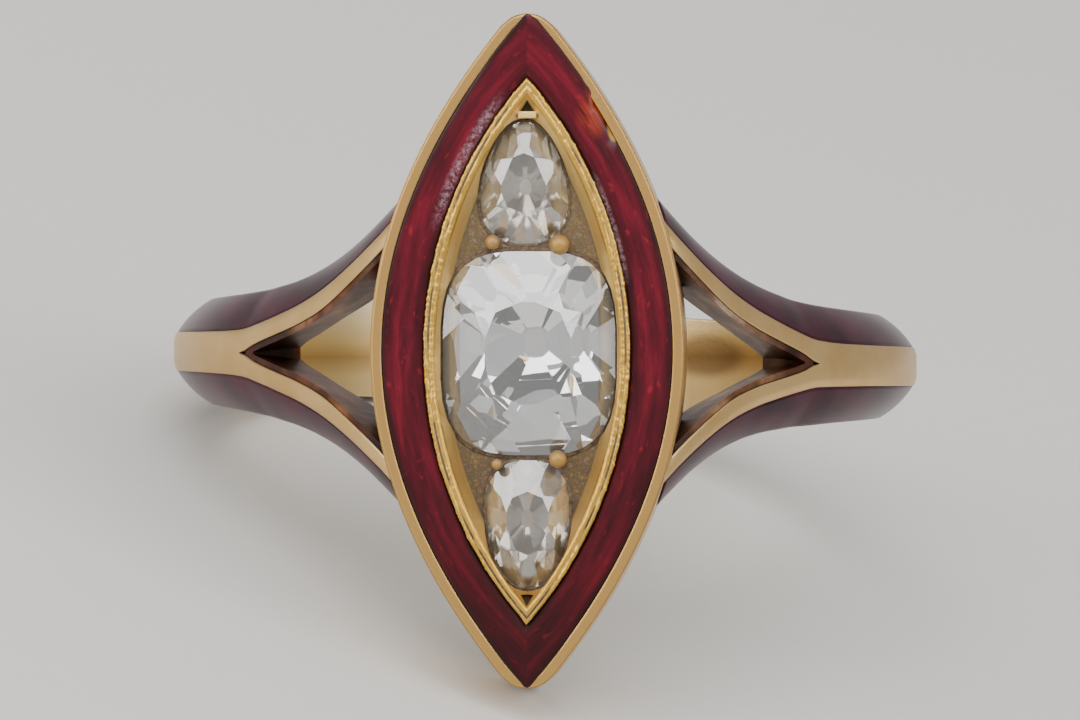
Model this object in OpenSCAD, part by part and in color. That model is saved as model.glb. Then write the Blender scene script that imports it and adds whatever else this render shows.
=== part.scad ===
// Navette ring: a forked gold hoop that carries a pointed-oval head with three old-cut stones
// inside a red enamel band, and dark enamel panels on the flanks of the shoulders.
// The ring lies as it rests by itself: on the lower point of its head and the lower left of its hoop.

/* [Finger hole] */
// Radius of the finger hole
bore_r = 8.65; // [7.9:0.05:9.6]

/* [Head] */
// Half of the width of the head
head_half_w = 4.2; // [4:0.01:4.5]
// Half of the length at which the two long sides of the head would meet, were its points not rounded
head_meet = 9.52; // [9:0.01:10]
// Radius that rounds the two points of the head
head_tip_r = 0.9; // [0.4:0.05:1.2]
// Height of the outer rim above the middle of the finger hole
head_top = 12; // [11.6:0.05:12.6]
// Height of the flat back of the head above the middle of the finger hole
head_back = 8.95; // [8.8:0.05:9.3]
// Width of the outer gold rim
rim_w = 0.3; // [0.2:0.01:0.45]
// Radius that rounds the two points of the enamel channel
channel_tip_r = 0.5; // [0.3:0.05:0.6]
// Depth of the enamel channel
channel_depth = 0.5; // [0.3:0.05:0.8]
// Half of the width of the inner collar, measured over its outer edge
collar_half_w = 2.75; // [2.65:0.01:2.9]
// Half of the length of the inner collar, measured over its outer edge
collar_half_len = 7.29; // [7.1:0.01:7.5]
// Width of the top of the inner collar
collar_w = 0.26; // [0.2:0.01:0.35]
// Height of the inner collar above the outer rim
collar_rise = 0.12; // [0:0.01:0.3]
// Depth of the stone well below the outer rim
well_depth = 0.5; // [0.4:0.05:0.8]
// How far the well narrows from its top to its floor
well_slope = 0.32; // [0.2:0.01:0.4]

/* [Hoop] */
// Angle between the middle of the head and the fork of the left shoulder
fork_left = 51.5; // [47:0.5:53]
// Angle between the middle of the head and the fork of the right shoulder
fork_right = 48.5; // [46:0.5:53]
// How far the old hoop sags towards the lower side of the head
sag = 0.21; // [0:0.01:0.3]
// How far the back of the hoop is twisted, up on the left and down on the right
twist = 0.17; // [0:0.01:0.25]

/* [Enamel] */
// Gap between an enamel panel or stone and the gold round it
gap = 0.03; // [0.02:0.01:0.06]
// Depth of the grooves that hold the shoulder enamel
groove_depth = 0.24; // [0.15:0.01:0.3]
// Angle at which a shoulder panel ends, on the side of the hoop
panel_end = 112; // [80:1:130]
// How far a shoulder panel swells above its edges
panel_swell = 0.08; // [0:0.01:0.12]
// Thickness of the enamel that lines the windows between the branches
lining_t = 0.1; // [0.08:0.01:0.15]

/* [Stones] */
// Height of the girdle of the centre stone above the middle of the finger hole
centre_girdle = 11.6; // [11.5:0.05:11.8]
// Height of the girdle of the two side stones above the middle of the finger hole
side_girdle = 11.5; // [11.4:0.05:11.7]
// Thickness of a girdle
girdle_t = 0.1; // [0.06:0.01:0.16]

/* [Hidden] */

GOLD = "#C9A45C";
RED = "#74202A";
PURPLE = "#4A3038";
STONE = "#DCDEDC";
ROUND = 96;
OVER = 1;
LEFT = -1;
RIGHT = 1;
UPPER = 1;
LOWER = -1;

// Sections of one half of the hoop, from the head round to the back. Angles are measured from the
// middle of the head, radii from the middle of the finger hole, and half widths along the finger.
ANGLE = 0;
RIDGE_R = 1;
RIDGE_IN = 2;
RIDGE_OUT = 3;
FOOT_OUT = 4;
FOOT_R = 5;
FOOT_IN = 6;
UNDER_R = 7;
FORK = 49;
inside_r = bore_r - 0.35;
SECTIONS = [
    // angle, ridge radius, ridge inner and outer edge, foot edge, foot radius, foot inner edge, underside
    [17, 11.75, 3.30, 3.76, 4.48, 10.80, 2.80, bore_r + 0.80],
    [20, 11.60, 2.66, 3.13, 3.90, 10.62, 2.45, bore_r + 0.40],
    [25, 11.25, 1.85, 2.33, 3.15, 10.30, 2.02, bore_r + 0.08],
    [30, 10.92, 1.20, 1.72, 2.60, 10.02, 1.60, bore_r - 0.20],
    [35, 10.66, 0.80, 1.30, 2.22, 9.80, 1.24, inside_r],
    [40, 10.50, 0.52, 1.00, 1.97, 9.63, 0.83, inside_r],
    [45, 10.40, 0.26, 0.75, 1.81, 9.50, 0.45, inside_r],
    [FORK, 10.36, 0, 0.60, 1.71, 9.42, 0, inside_r],
    [60, 10.33, 0, 0.53, 1.57, 9.35, 0, inside_r],
    [75, 10.32, 0, 0.51, 1.47, 9.30, 0, inside_r],
    [90, 10.31, 0, 0.50, 1.42, 9.28, 0, inside_r],
    [120, 10.16, 0, 0.49, 1.38, 9.20, 0, inside_r],
    [180, 9.96, 0, 0.48, 1.33, 9.10, 0, inside_r]
];
LAST = len(SECTIONS) - 1;

// A smooth curve through one column of the sections
function rise(col, i) =
    i == LAST ? 0
    : let (a = SECTIONS[max(i - 1, 0)], b = SECTIONS[i + 1]) (b[col] - a[col]) / (b[ANGLE] - a[ANGLE]);
function row_below(angle, i = 0) =
    i >= LAST - 1 || SECTIONS[i + 1][ANGLE] > angle ? i : row_below(angle, i + 1);
function size_at(col, angle) =
    let (
        i = row_below(angle),
        step = SECTIONS[i + 1][ANGLE] - SECTIONS[i][ANGLE],
        s = (angle - SECTIONS[i][ANGLE]) / step,
        p = SECTIONS[i][col],
        q = SECTIONS[i + 1][col]
    )
    p * (1 + 2 * s) * pow(1 - s, 2) + q * s * s * (3 - 2 * s)
    + step * s * (1 - s) * (rise(col, i) * (1 - s) - rise(col, i + 1) * s);

// The forks of the two shoulders lie at different angles, so each side stretches the table to its own
function true_angle(side, angle) =
    let (fork = side == LEFT ? fork_left : fork_right, first = SECTIONS[0][ANGLE])
    angle < FORK
        ? first + (angle - first) * (fork - first) / (FORK - first)
        : fork + (angle - FORK) * (180 - fork) / (180 - FORK);

// Sag of the old hoop: none beside the head, most on the right. The back is twisted a little as well.
function blend(s) = let (c = min(max(s, 0), 1)) c * c * (3 - 2 * c);
function twist_at(side, angle) = angle > 90 ? side * twist * pow(sin(2 * angle), 2) : 0;
function sag_at(side, angle) =
    sag * (1 + side * sin(angle)) * blend((angle - 12) / 43) + twist_at(side, angle);

function hoop_point(side, half, angle, y, r) =
    let (a = true_angle(side, angle))
    [side * r * sin(a), half * y - sag_at(side, a), r * cos(a)];

// Stations of the loft: close together on the branches and where a panel ends
branch_steps = 20;
STATIONS = concat(
    [for (i = [0:15]) FORK + i * 3],
    [for (i = [1:15]) FORK + 45 + i * 1.5],
    [for (i = [1:15]) 116.5 + i * (180 - 116.5) / 15]
);
COUNT = len(STATIONS);

// The groove for a shoulder panel runs out from under the head, and narrows and closes at its far end
groove_lip_top = 0.05;
groove_lip_foot = 0.07;
groove_draft = 0.03;
tail_width = 0.16;
tail_taper = 10;
function groove_open(angle) = blend((panel_end - angle) / 3);
function groove_fill(angle) =
    let (far = min(max((panel_end - angle) / tail_taper, 0), 1))
    tail_width + (1 - tail_width) * sqrt(1 - pow(1 - far, 2));

// The ridge is rounded off towards its outer edge, and the foot lies back where enamel rolls over it
crown_w = 0.2;
crown_drop = 0.06;
foot_back = 0.06;
function foot_drop(angle) = foot_back * groove_open(angle);

// The flank at one angle, as [y, r]: its ridge edge, its foot, the way along it and the way out of it
function flank(angle) =
    let (
        top = [size_at(RIDGE_OUT, angle), size_at(RIDGE_R, angle) - crown_drop],
        foot = [size_at(FOOT_OUT, angle), size_at(FOOT_R, angle)],
        along = (foot - top) / norm(foot - top)
    )
    [top, foot, along, [-along[1], along[0]]];
// Corners of the flank's groove: upper lip, floor, floor, lower lip
function groove(angle) =
    let (
        f = flank(angle),
        length = norm(f[1] - f[0]),
        half = (length - groove_lip_top - groove_lip_foot) / 2 * groove_fill(angle),
        middle = f[0] + f[2] * (groove_lip_top + length - groove_lip_foot) / 2,
        depth = groove_depth * groove_open(angle),
        a = middle - f[2] * half,
        d = middle + f[2] * half
    )
    [
        a,
        a + f[2] * groove_draft - f[3] * depth,
        d - f[2] * groove_draft - f[3] * depth,
        d - f[3] * foot_drop(angle)
    ];

// Corners of half a section, as [y, r], from the ridge's inner edge out and under to the inside
function half_section(angle, forked) =
    let (
        f = flank(angle),
        g = groove(angle),
        ridge = size_at(RIDGE_R, angle),
        under = size_at(UNDER_R, angle),
        foot = f[1] - f[3] * foot_drop(angle)
    )
    [
        [forked ? size_at(RIDGE_IN, angle) : 0, ridge],
        [f[0][0] - crown_w, ridge],
        f[0], g[0], g[1], g[2], g[3], foot,
        [foot[0], under],
        [forked ? size_at(FOOT_IN, angle) : 0, under]
    ];
CORNERS = 10;
RING = 2 * CORNERS - 2;

// The unforked part of the hoop runs from the left fork round the back to the right fork
SWEEP = concat(
    [for (i = [0:COUNT - 1]) [LEFT, STATIONS[i]]],
    [for (i = [COUNT - 2:-1:0]) [RIGHT, STATIONS[i]]]
);
function ring_points(side, angle) =
    let (s = half_section(angle, false))
    concat(
        [for (p = s) hoop_point(side, UPPER, angle, p[0], p[1])],
        [for (j = [CORNERS - 2:-1:1]) hoop_point(side, LOWER, angle, s[j][0], s[j][1])]
    );
BRANCHES = [[LEFT, UPPER], [LEFT, LOWER], [RIGHT, UPPER], [RIGHT, LOWER]];
function branch_angle(k) = FORK - k * (FORK - SECTIONS[0][ANGLE]) / branch_steps;
BRANCH_ANGLES = [for (k = [branch_steps:-1:1]) branch_angle(k)];
hoop_points = concat(
    [for (s = SWEEP) each ring_points(s[0], s[1])],
    [for (b = BRANCHES, k = [1:branch_steps])
        let (angle = branch_angle(k))
        each [for (p = half_section(angle, true)) hoop_point(b[0], b[1], angle, p[0], p[1])]]
);

function ring_index(i, half, j) =
    i * RING + (half == UPPER || j == 0 || j == CORNERS - 1 ? j : RING - j);
function branch_index(b, k, j) =
    k == 0
        ? ring_index(BRANCHES[b][0] == LEFT ? 0 : len(SWEEP) - 1, BRANCHES[b][1], j)
        : len(SWEEP) * RING + (b * branch_steps + k - 1) * CORNERS + j;

// A four-cornered face as two triangles, turned over where the half or the side is mirrored
function facets(a, b, c, d, turn) =
    turn ? [[a, b, c], [a, c, d]] : [[a, c, b], [a, d, c]];
function backwards(list) = [for (i = [len(list) - 1:-1:0]) list[i]];
hoop_faces = concat(
    [for (i = [0:len(SWEEP) - 2], half = [UPPER, LOWER], j = [0:CORNERS - 2])
        each facets(
            ring_index(i, half, j), ring_index(i, half, j + 1),
            ring_index(i + 1, half, j + 1), ring_index(i + 1, half, j), half == LOWER)],
    [for (b = [0:3], k = [0:branch_steps - 1], j = [0:CORNERS - 1])
        each facets(
            branch_index(b, k, j), branch_index(b, k, (j + 1) % CORNERS),
            branch_index(b, k + 1, (j + 1) % CORNERS), branch_index(b, k + 1, j),
            BRANCHES[b][0] * BRANCHES[b][1] == LEFT * UPPER)],
    [for (b = [0:3])
        let (ring = [for (j = [0:CORNERS - 1]) branch_index(b, branch_steps, j)])
        BRANCHES[b][0] * BRANCHES[b][1] == LEFT * UPPER ? ring : backwards(ring)]
);

// Each long side of the head is a parabola. An inset draws it in along its normal.
function side_slope(t) = 2 * head_half_w * t / pow(head_meet, 2);
function side_point(t, inset) =
    let (k = norm([1, side_slope(t)]))
    [head_half_w * (1 - pow(t / head_meet, 2)) - inset / k, t - inset * side_slope(t) / k];
// Where a side that is drawn in meets the middle line
function side_end(inset, t = head_meet, turns = 20) =
    turns == 0
        ? t
        : side_end(
            inset, head_meet * sqrt(1 - inset / (head_half_w * norm([1, side_slope(t)]))), turns - 1);
head_half_len = side_point(side_end(head_tip_r), head_tip_r)[1] + head_tip_r;

// How the ring lies by itself: on the lower point of the head and on the lower left of the hoop's
// back. On the middle of its back it would roll over, because the weight is above that line.
lean_back = 20.5;
lean_left = 15.65;
// Turns the face of the head to -Y
face_turn = 5.76;
// Where the middle of the finger hole then lies: the box is over the origin, and its floor at 0
hole_at = [-0.056, 2.383, 5.157];
module lay_down() {
    translate(hole_at)
        rotate([90 - lean_back, -lean_left, face_turn])
            children();
}

// The collar and the well are pointed ovals: where two discs of this radius overlap
collar_r = (collar_half_len * collar_half_len + collar_half_w * collar_half_w) / (2 * collar_half_w);
collar_off = collar_r - collar_half_w;
floor_z = head_top - well_depth;
collar_z = head_top + collar_rise;
well_top_r = collar_r - collar_w;
well_floor_r = well_top_r - well_slope;

side_steps = 28;
tip_steps = 8;
// The outline of the head, drawn in by an inset, with its points rounded to a radius
function head_outline(inset, tip_r) =
    let (
        meet = side_end(inset + tip_r),
        tip_y = side_point(meet, inset + tip_r)[1],
        turn = 90 - atan(1 / side_slope(meet)),
        side = [for (i = [-side_steps:side_steps]) side_point(meet * i / side_steps, inset)],
        tip = [for (i = [1:tip_steps - 1])
            let (a = 90 - turn + 2 * turn * i / tip_steps)
            [tip_r * cos(a), tip_y + tip_r * sin(a)]],
        right = concat(side, tip)
    )
    concat(right, -right);

module head_prism(inset, tip_r, low, high) {
    translate([0, 0, low])
        linear_extrude(high - low)
            polygon(head_outline(inset, tip_r));
}

module pointed_prism(r, low, high) {
    intersection_for (s = [LEFT, RIGHT])
        translate([s * collar_off, 0, low])
            cylinder(r = r, h = high - low, $fn = ROUND);
}

// The band between the outer rim and the collar: the enamel's channel, or the enamel itself
module enamel_band(inset, low, high) {
    difference() {
        head_prism(rim_w + inset, channel_tip_r - inset, low, high);
        pointed_prism(collar_r + inset, low - OVER, high + OVER);
    }
}

// Stones: middle, half sizes, squareness of the outline, how much it narrows towards its upper end,
// heights of girdle, crown and pavilion, and how far the culet lies off the middle
MIDDLE = 0;
HALF = 1;
SQUARE = 2;
NARROW = 3;
GIRDLE = 4;
CROWN = 5;
PAVILION = 6;
CULET_OFF = 7;
CENTRE_STONE = [[0.04, -0.06], [2.315, 2.735], 3.2, 0, centre_girdle, 0.8, 2.05, [0.18, 0.34]];
UPPER_STONE = [[-0.09, 4.5], [1.15, 1.665], 2.2, 0.3, side_girdle, 0.5, 1.25, [0.03, -0.12]];
LOWER_STONE = [[0.01, -4.62], [1.11, 1.735], 2.4, -0.2, side_girdle, 0.5, 1.25, [-0.04, 0.15]];
girdle_sides = 32;

function power(x, n) = sign(x) * pow(abs(x), 2 / n);
function stone_outline(stone, grow = 0, share = 1) =
    [for (i = [0:girdle_sides - 1])
        let (a = (i + 0.5) * 360 / girdle_sides)
        share * [
            (stone[HALF][0] + grow) * power(cos(a), stone[SQUARE]) * (1 - stone[NARROW] * sin(a)),
            (stone[HALF][1] + grow) * power(sin(a), stone[SQUARE])
        ]];
// Distance from the middle of a stone to the tangent of its outline on one side
function reach(outline, a) = max([for (p = outline) p[0] * cos(a) + p[1] * sin(a)]);

// A ring of flat facets. Each runs from one share of the reach and height to another, and the point
// that they run towards can lie off the middle.
block = 30;
module facet_ring(outline, count, first, from, to, off = [0, 0]) {
    intersection_for (i = [0:count - 1]) {
        a = first + i * 360 / count;
        r = reach(outline, a);
        run = (from[0] - to[0]) * r - off * [cos(a), sin(a)];
        up = to[1] > from[1] ? 1 : -1;
        slope = atan2(abs(to[1] - from[1]), up * run);
        rotate([0, slope, a])
            translate([-block / 2, -block / 2, from[0] * r * sin(slope) + from[1] * cos(slope) - block])
                cube(block);
    }
}

// An old brilliant cut: table, stars, mains and halves above the girdle, mains, halves and culet below
table_share = 0.5;
culet_share = 0.13;
mains = 8;
halves = 16;
half_turn = 180 / halves;
star_turn = 180 / mains;
upper_half_share = 0.61;
star_share = table_share * cos(star_turn);
star_spread = 0.83;
lower_half_share = 0.1;
// The pavilion of an old hand-cut stone is turned a little against its crown
pavilion_turn = 4;
module cut_stone(stone) {
    off = stone[CULET_OFF];
    outline = stone_outline(stone);
    top = stone[CROWN];
    under = -girdle_t;
    bottom = under - stone[PAVILION];
    culet = under - stone[PAVILION] * (1 - culet_share);
    color(STONE)
        lay_down()
            translate([stone[MIDDLE][0], stone[MIDDLE][1], stone[GIRDLE]])
                intersection() {
                    translate([0, 0, culet])
                        linear_extrude(top - culet)
                            polygon(outline);
                    facet_ring(outline, mains, 0, [1, 0], [table_share, top]);
                    facet_ring(outline, halves, half_turn, [1, 0], [upper_half_share, top]);
                    facet_ring(outline, mains, star_turn, [star_share + star_spread, 0], [star_share, top]);
                    facet_ring(outline, mains, pavilion_turn, [1, under], [0, bottom], off);
                    facet_ring(
                        outline, halves, half_turn + pavilion_turn,
                        [1, under], [lower_half_share, bottom], off);
                }
}

// The hole under a stone: room for its girdle, a step for its pavilion and an opening through the back
SEAT_SHARES = [0.93, 0.78];
seat_room = 2 * gap;
// The pavilion is steepest on the side that its culet lies off to, and the seat has room for that side
function seat_depth(stone, share) =
    let (half = stone[HALF][0], steeper = half / (half - norm(stone[CULET_OFF])))
    girdle_t + steeper * (1 - share + gap / half) * stone[PAVILION] + 2 * gap;
module seat(stone) {
    step = [for (s = SEAT_SHARES) seat_depth(stone, s)];
    translate([stone[MIDDLE][0], stone[MIDDLE][1], stone[GIRDLE]]) {
        translate([0, 0, -step[0]])
            linear_extrude(step[0] + stone[CROWN] + OVER)
                polygon(stone_outline(stone, seat_room));
        translate([0, 0, -step[1]])
            linear_extrude(step[1])
                polygon(stone_outline(stone, 0, SEAT_SHARES[0]));
        translate([0, 0, head_back - stone[GIRDLE] - OVER])
            linear_extrude(stone[GIRDLE] - head_back + OVER)
                polygon(stone_outline(stone, 0, SEAT_SHARES[1]));
    }
}

// Grains raised beside the centre stone: place, radius, height of the bead
GRAINS = [
    [[0.86, 2.84], 0.27, centre_girdle + 0.25],
    [[-0.93, 2.91], 0.20, centre_girdle + 0.16],
    [[0.82, -2.89], 0.24, centre_girdle + 0.26],
    [[-0.82, -3.03], 0.15, centre_girdle + 0.14]
];
stem_share = 0.8;
module grain_stems() {
    for (g = GRAINS)
        translate([g[0][0], g[0][1], floor_z - gap])
            cylinder(r = stem_share * g[1], h = g[2] - floor_z + gap, $fn = ROUND);
}
module grain_beads() {
    for (g = GRAINS)
        translate([g[0][0], g[0][1], g[2]])
            sphere(r = g[1], $fn = ROUND);
}

// The small ledge that holds the blunt end of the upper stone
ledge = [0.5, 0.18, 0.42];
ledge_y = UPPER_STONE[MIDDLE][1] + UPPER_STONE[HALF][1] + seat_room;
// The dark pits left by the graver in both points of the well
pit_r = 0.2;
pit_depth = 0.55;
pit_y = [ledge_y + ledge[1] + pit_r / 2, -6.62];
module pits() {
    for (y = pit_y)
        translate([0, y, collar_z - pit_depth])
            rotate(sign(y) * 90)
                cylinder(r = pit_r, h = pit_depth + OVER, $fn = 3);
}

rim_chamfer = 0.06;
module rims_and_well() {
    difference() {
        union() {
            head_prism(0, head_tip_r, head_back, head_top - rim_chamfer);
            head_prism(
                rim_chamfer / 2, head_tip_r - rim_chamfer / 2, head_top - 2 * rim_chamfer, head_top);
            pointed_prism(collar_r, floor_z, collar_z);
        }
        enamel_band(0, head_top - channel_depth, head_top + OVER);
        intersection_for (s = [LEFT, RIGHT])
            translate([s * collar_off, 0, floor_z])
                cylinder(r1 = well_floor_r, r2 = well_top_r, h = collar_z - floor_z, $fn = ROUND);
    }
}
module head_metal() {
    difference() {
        union() {
            rims_and_well();
            grain_stems();
        }
        for (stone = [CENTRE_STONE, UPPER_STONE, LOWER_STONE])
            seat(stone);
        pits();
    }
    translate([-ledge[0] / 2, ledge_y, floor_z - gap])
        cube(ledge);
    grain_beads();
}

module finger_hole() {
    rotate([90, 0, 0])
        cylinder(r = bore_r, h = 3 * head_half_len, center = true, $fn = ROUND);
}

module gold_frame() {
    color(GOLD)
        lay_down()
            difference() {
                union() {
                    polyhedron(hoop_points, hoop_faces);
                    head_metal();
                }
                finger_hole();
            }
}

module head_enamel() {
    color(RED)
        lay_down()
            enamel_band(gap, head_top - channel_depth + gap, head_top - gap);
}

// Enamel that runs up to the head is cut off just short of its side
module beside_head() {
    lay_down()
        difference() {
            children();
            head_prism(-gap, head_tip_r + gap, head_back - OVER, head_top + OVER);
        }
}

// A shoulder panel lies in its groove, swells a little, and rolls over the foot of the flank
PANEL_STATIONS = [for (a = concat(BRANCH_ANGLES, STATIONS)) if (groove_open(a) > 0.4) a];
face_steps = 5;
function panel_section(angle) =
    let (
        f = flank(angle),
        g = groove(angle),
        near = g[0] + gap * f[2],
        edge = g[3] + (groove_lip_foot + groove_lip_foot * groove_fill(angle)) / 2 * f[2]
            + foot_drop(angle) * f[3],
        under = gap - foot_drop(angle)
    )
    concat(
        [for (i = [0:face_steps])
            let (s = i / face_steps) near + s * (edge - near) + panel_swell * 4 * s * (1 - s) * f[3]],
        [
            edge + under * f[3],
            g[3] - gap * f[2] + gap * f[3],
            g[2] - gap * (f[2] - f[3]),
            g[1] + gap * (f[2] + f[3])
        ]
    );
PANEL_CORNERS = face_steps + 5;
module shoulder_panel(side, half) {
    last = len(PANEL_STATIONS) - 1;
    points = [for (angle = PANEL_STATIONS)
        each [for (p = panel_section(angle)) hoop_point(side, half, angle, p[0], p[1])]];
    color(PURPLE)
        beside_head()
            polyhedron(points, strip_faces(last, PANEL_CORNERS, side * half == LEFT * LOWER));
}

// The faces of a long strip: its corners run round it at each station, and both its ends are closed
function strip_faces(last, corners, turned) =
    let (
        near_end = [for (j = [0:corners - 1]) j],
        far_end = [for (j = near_end) last * corners + j]
    )
    concat(
        [for (i = [0:last - 1], j = [0:corners - 1])
            let (next = (j + 1) % corners, here = i * corners, there = here + corners)
            each facets(here + j, here + next, there + next, there + j, turned)],
        turned ? [backwards(near_end), far_end] : [near_end, backwards(far_end)]
    );

// What fills the window between two branches, drawn in from its walls and its upper and lower edges,
// and ending some steps short of the fork
window_lip = 0.08;
window_gap = 2 * gap;
thinnest = 0.01;
function window_low(angle) = max(bore_r, size_at(UNDER_R, angle)) + window_lip;
function wall_y(angle, r) =
    let (under = size_at(UNDER_R, angle), s = (r - under) / (size_at(RIDGE_R, angle) - under))
    size_at(FOOT_IN, angle) + s * (size_at(RIDGE_IN, angle) - size_at(FOOT_IN, angle));
module window_fill(side, inset, over, end) {
    angles = [for (k = [branch_steps:-1:end]) branch_angle(k)];
    points = [for (angle = angles)
        let (low = window_low(angle) - over, high = size_at(RIDGE_R, angle) - window_lip + over)
        each [for (c = [[UPPER, high], [UPPER, low], [LOWER, low], [LOWER, high]])
            hoop_point(side, 1, angle, c[0] * max(wall_y(angle, c[1]) - inset, thinnest), c[1])]];
    polyhedron(points, strip_faces(len(angles) - 1, 4, side == RIGHT));
}
module window_lining(side) {
    color(PURPLE)
        beside_head()
            difference() {
                window_fill(side, window_gap, 0, 1);
                window_fill(side, window_gap + lining_t, window_lip, 2);
            }
}

gold_frame();
head_enamel();
cut_stone(CENTRE_STONE);  // centre_stone
cut_stone(UPPER_STONE);  // upper_stone
cut_stone(LOWER_STONE);  // lower_stone
shoulder_panel(LEFT, UPPER);  // shoulder_enamel_left_upper
shoulder_panel(LEFT, LOWER);  // shoulder_enamel_left_lower
shoulder_panel(RIGHT, UPPER);  // shoulder_enamel_right_upper
shoulder_panel(RIGHT, LOWER);  // shoulder_enamel_right_lower
window_lining(LEFT);  // window_enamel_left
window_lining(RIGHT);  // window_enamel_right
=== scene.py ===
# %% [markdown]
# # A navette ring
#
# They stay where they are, and this script gives them their looks: worn gold, fused enamel and
# old-cut stones, under soft light on a pale floor. A few things on the real ring are too fine for
# the solids: the hammered edge of the inner collar, the flowed surface of the enamel, and the
# dirt round the stones. They are modelled here as meshes.

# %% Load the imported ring
import math

import bpy
from mathutils import Matrix, Vector, geometry, noise


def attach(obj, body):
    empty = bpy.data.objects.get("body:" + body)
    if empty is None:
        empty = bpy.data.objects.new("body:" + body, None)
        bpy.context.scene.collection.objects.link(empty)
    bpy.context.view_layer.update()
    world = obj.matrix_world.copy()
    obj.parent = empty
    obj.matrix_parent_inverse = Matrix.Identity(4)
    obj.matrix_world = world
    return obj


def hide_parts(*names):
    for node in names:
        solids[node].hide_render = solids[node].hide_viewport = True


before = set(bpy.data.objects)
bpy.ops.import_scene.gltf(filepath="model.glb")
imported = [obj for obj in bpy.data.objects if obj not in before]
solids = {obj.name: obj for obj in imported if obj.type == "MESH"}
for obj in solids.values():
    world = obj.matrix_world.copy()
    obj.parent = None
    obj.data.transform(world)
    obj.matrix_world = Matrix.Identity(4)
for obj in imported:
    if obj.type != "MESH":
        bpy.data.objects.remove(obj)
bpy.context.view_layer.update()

# %% [markdown]
# The ring lies on the point of its head and on the lower left of its hoop, so its own axes lean in
# the row frame, back and over to the left. Everything below is written in the ring's own axes, in
# millimetres: x to the right, y along the finger towards the upper point of the head, and z from
# the middle of the finger hole to the head. One matrix takes such a point to its place in the row
# frame.

# %% The ring's own axes
MM = 0.001
LEAN_BACK, LEAN_LEFT, FACE_TURN = (math.radians(a) for a in (20.5, 15.65, 5.76))
HOLE = Vector((-0.056, 2.383, 5.157))
HEAD_TOP = 12.0
ring_axes = (Matrix.Scale(MM, 4) @ Matrix.Translation(HOLE)
             @ Matrix.Rotation(FACE_TURN, 4, "Z") @ Matrix.Rotation(-LEAN_LEFT, 4, "Y")
             @ Matrix.Rotation(math.pi / 2 - LEAN_BACK, 4, "X"))
head_middle = ring_axes @ Vector((0, 0, HEAD_TOP))
print("the middle of the head, in mm:", [round(v / MM, 2) for v in head_middle])

# %% [markdown]
# ## Camera
#
# The photograph looks straight at the head, from very slightly to the right of it. The camera's
# own up direction is the ring's y axis, so that the head stands upright in the picture. The ring
# lies leaning back, so a camera that faces its head looks down at the floor and stands well above
# it. The focal length is in the photograph's own pixels, turned into mm on a 36 mm sensor.

# %% The camera
FOCAL_PIXELS, PHOTO_WIDTH, SENSOR = 11230, 1080, 36
TURN = math.radians(2.4)
# The camera stands this far to the right of the head's middle, above it and in front of it
STAND = Vector((0.35, -0.24, 300)) * MM
back = (ring_axes.to_3x3() @ Vector((math.sin(TURN), 0, math.cos(TURN)))).normalized()
up = (ring_axes.to_3x3() @ Vector((0, 1, 0))).normalized()
side = up.cross(back)
facing = Matrix((side, up, back)).transposed()
camera = bpy.data.objects.new("camera", bpy.data.cameras.new("camera"))
bpy.context.scene.collection.objects.link(camera)
camera.rotation_mode = "QUATERNION"
camera.rotation_quaternion = facing.to_quaternion()
camera.location = head_middle + facing @ STAND
camera.data.lens = FOCAL_PIXELS / PHOTO_WIDTH * SENSOR
camera.data.clip_start, camera.data.clip_end = 0.01, 10
bpy.context.scene.camera = camera
print("the camera stands", round(camera.location.z, 3), "m above the floor")


# %% [markdown]
# ## Helpers
#
# One function turns a colour as the eye reads it into the renderer's own values, one feeds a
# node's inputs, and one adds any node.

# %% Colours, and one function that adds a node
def colour(code):
    """A colour written as sRGB, such as "C9A45C", as the linear values that the renderer uses."""
    channels = [int(code[i:i + 2], 16) / 255 for i in (0, 2, 4)]
    return [c / 12.92 if c <= 0.04045 else ((c + 0.055) / 1.055) ** 2.4 for c in channels] + [1]


def feed(tree, node, links):
    """Links a node's inputs to sockets, or to the first output that another node has in use."""
    for key, source in links.items():
        if isinstance(source, bpy.types.Node):
            source = next(socket for socket in source.outputs if socket.enabled)
        tree.links.new(source, node.inputs[key])


def add(tree, kind, settings=None, links=None):
    """Adds a node. Settings are its own properties, its inputs' plain values or the stops of a
    colour ramp. Links say what feeds an input, given by its name or its number."""
    made = tree.nodes.new(kind if "Node" in kind else "ShaderNode" + kind)
    for key, value in (settings or {}).items():
        if key == "stops":
            stops = made.color_ramp.elements
            while len(stops) < len(value):
                stops.new(1)
            for stop, (position, code) in zip(stops, value):
                stop.position, stop.color = position, colour(code)
        elif isinstance(key, str) and hasattr(made, key):
            setattr(made, key, value)
        else:
            made.inputs[key].default_value = value
    feed(tree, made, links or {})
    return made


# %% [markdown]
# Every material starts from the shaded point in the ring's own axes, so its pattern is laid out
# in real millimetres. Every mesh is written in the same axes, and those that close round the
# head or round a stone share one way to join their rings of corners.

# %% Materials and meshes
def new_material(name):
    """A material with its principled shader, and the shaded point in the ring's own axes, in mm."""
    material = bpy.data.materials.new(name)
    material.use_nodes = True
    tree = material.node_tree
    here = add(tree, "TexCoord")
    back_to_ring = ring_axes.inverted()
    place = add(tree, "Mapping", {
        "Location": back_to_ring.translation,
        "Rotation": back_to_ring.to_euler(),
        "Scale": (1 / MM, 1 / MM, 1 / MM)}, {"Vector": here.outputs["Object"]})
    return material, tree, tree.nodes["Principled BSDF"], place


def wear(piece, material):
    """Gives a piece one material."""
    piece.data.materials.clear()
    piece.data.materials.append(material)


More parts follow.
